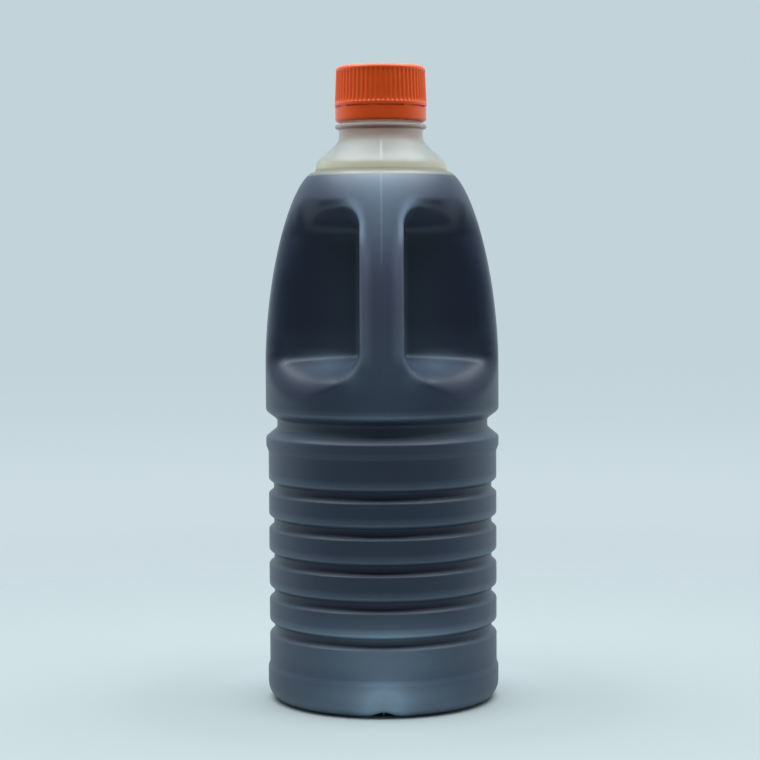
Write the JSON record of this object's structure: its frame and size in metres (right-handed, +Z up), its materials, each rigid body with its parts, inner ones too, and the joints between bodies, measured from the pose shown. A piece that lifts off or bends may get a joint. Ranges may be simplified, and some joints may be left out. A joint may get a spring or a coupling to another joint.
{
  "type": "pork bowl sauce bottle",
  "caption": "Tall round sauce bottle of milky plastic with a ribbed lower wall, a waist, a front grip ridge between finger pockets and a ribbed orange screw cap, full of dark sauce.",
  "frame": {"origin": "middle of the base, on the surface that the bottle stands on", "axes": "+Z up along the bottle's axis, -Y out of the grip ridge at the front, +X to the right as the ridge faces the viewer"},
  "size_m": [0.1068, 0.1068, 0.2892],
  "materials": {
    "milky_plastic": "blow-moulded polyethylene, milky and translucent, satin",
    "dark_sauce": "thick dark soy sauce, nearly opaque",
    "orange_plastic": "injection-moulded polypropylene, satin orange-red"
  },
  "bodies": {
    "root": {"bottle": "milky_plastic", "sauce": "dark_sauce", "cap": "orange_plastic"}
  },
  "joints": []
}
